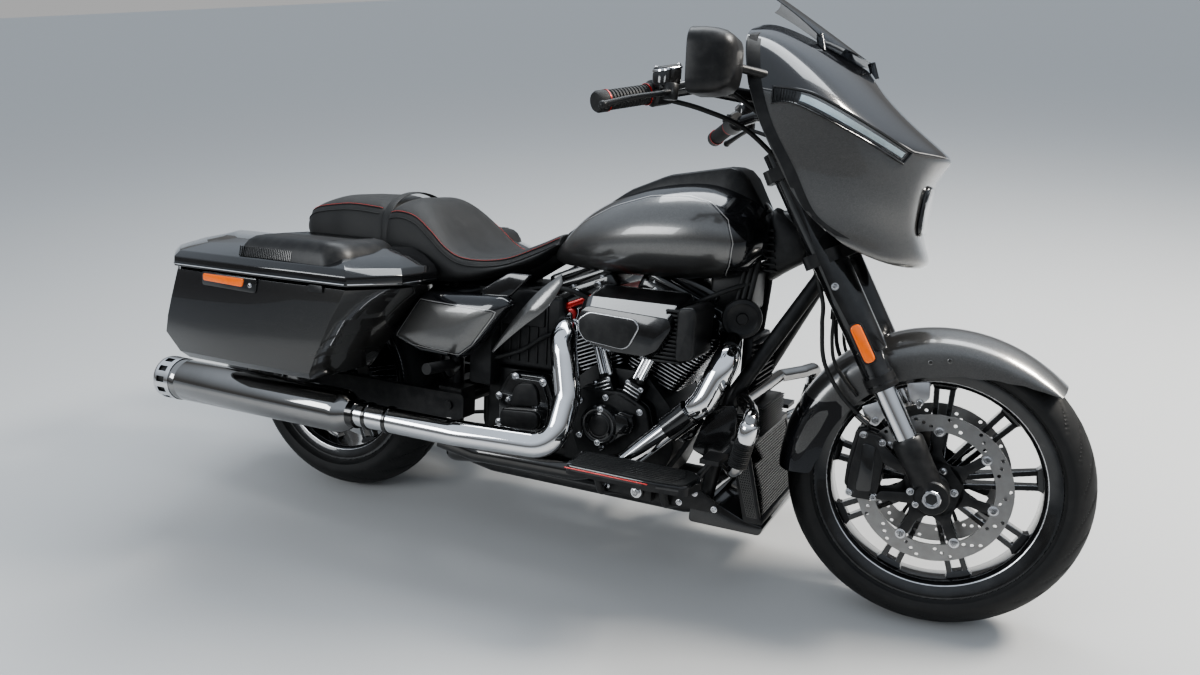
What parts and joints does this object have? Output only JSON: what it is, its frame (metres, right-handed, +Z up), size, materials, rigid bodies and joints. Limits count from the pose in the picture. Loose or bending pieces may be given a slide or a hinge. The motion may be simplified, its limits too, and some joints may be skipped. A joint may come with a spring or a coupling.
{
  "type": "touring motorcycle",
  "caption": "Touring cruiser motorcycle with V-twin engine, fork-mounted fairing, low seat, hard lidded panniers and turning wheels, leaning on its side stand.",
  "frame": {"origin": "on the ground under the middle of the overall box", "axes": "+X ahead, +Y to the rider's left, +Z up; the machine leans 12 degrees to the left on its side stand"},
  "size_m": [2.4095, 1.0371, 1.3537],
  "materials": {
    "black_paint": "gloss",
    "grey_paint": "gloss metallic",
    "black_satin": "satin",
    "engine_black": "wrinkle",
    "chrome": "polished",
    "steel": "brushed",
    "alloy": "gloss black",
    "tyre": "matte",
    "rubber": "matte",
    "plastic": "matte",
    "leather": "satin",
    "smoke": "smoked",
    "lamp": "clear"
  },
  "bodies": {
    "chassis": {"main_frame": "black_paint", "swingarm": "black_satin", "rear_shocks": "black_satin", "cylinders": "engine_black", "rocker_covers": "engine_black", "crankcase": "engine_black", "gearbox_cover": "engine_black", "drive_pulley": "steel", "primary_cover": "engine_black", "pushrod_tubes": "chrome", "air_cleaner": "plastic", "exhaust_headers": "chrome", "radiator": "plastic", "engine_guard": "black_paint", "fuel_tank": "grey_paint", "tank_console": "black_paint", "seat": "leather", "rear_fender": "black_paint", "side_covers": "grey_paint", "saddlebags": "black_paint", "footboards": "black_satin", "belt": "rubber", "rear_lamps": "plastic", "muffler_right": "chrome", "muffler_left": "chrome"},
    "steering": {"fork_sliders": "black_paint", "fork_stanchions": "chrome", "fork_lugs": "black_satin", "triple_clamps": "black_satin", "fork_covers": "black_paint", "front_fender": "grey_paint", "front_calipers": "black_satin", "handlebar": "black_paint", "hand_grips": "rubber", "hand_controls": "black_satin", "fairing_outer": "grey_paint", "fairing_inner": "plastic", "windshield": "smoke", "headlamp": "lamp", "mirrors": "black_paint"},
    "front_wheel": {"front_tyre": "tyre", "front_wheel": "alloy", "front_discs": "steel"},
    "rear_wheel": {"rear_tyre": "tyre", "rear_wheel": "alloy", "rear_disc": "steel", "rear_pulley": "alloy"},
    "side_stand": {"side_stand": "black_satin"},
    "lid_left": {"lid_left": "black_paint"},
    "lid_right": {"lid_right": "black_paint"},
    "fuel_door": {"fuel_door": "black_paint"}
  },
  "joints": [
    {"name": "steering_turn", "type": "hinge", "parent": "chassis", "child": "steering", "pos_m": [1.05552, -0.18902, -0.00094], "axis": [-0.4368, 0.1869, 0.8799], "range_deg": [-34.5, 25.5]},
    {"name": "front_wheel_spin", "type": "hinge", "parent": "steering", "child": "front_wheel", "pos_m": [0.88611, -0.12361, 0.31191], "axis": [-0.0709, 0.968, -0.2408], "continuous": true},
    {"name": "rear_wheel_spin", "type": "hinge", "parent": "chassis", "child": "rear_wheel", "pos_m": [-0.73891, -0.12091, 0.32263], "axis": [-0.0004, 0.9781, -0.2079], "continuous": true},
    {"name": "stand_swing", "type": "hinge", "parent": "chassis", "child": "side_stand", "pos_m": [0.27074, -0.00903, 0.12575], "axis": [0.0891, 0.6073, 0.7895], "range_deg": [0, 98.1]},
    {"name": "lid_left_open", "type": "hinge", "parent": "chassis", "child": "lid_left", "pos_m": [-0.73851, 0.39101, 0.55222], "axis": [-1, 0, 0.0017], "range_deg": [0, 75]},
    {"name": "lid_right_open", "type": "hinge", "parent": "chassis", "child": "lid_right", "pos_m": [-0.73818, -0.49519, 0.74058], "axis": [1, 0, -0.0017], "range_deg": [0, 75]},
    {"name": "fuel_door_open", "type": "hinge", "parent": "chassis", "child": "fuel_door", "pos_m": [0.37018, 0.01299, 0.95064], "axis": [-0.0004, 0.9781, -0.2079], "range_deg": [0, 95]}
  ]
}
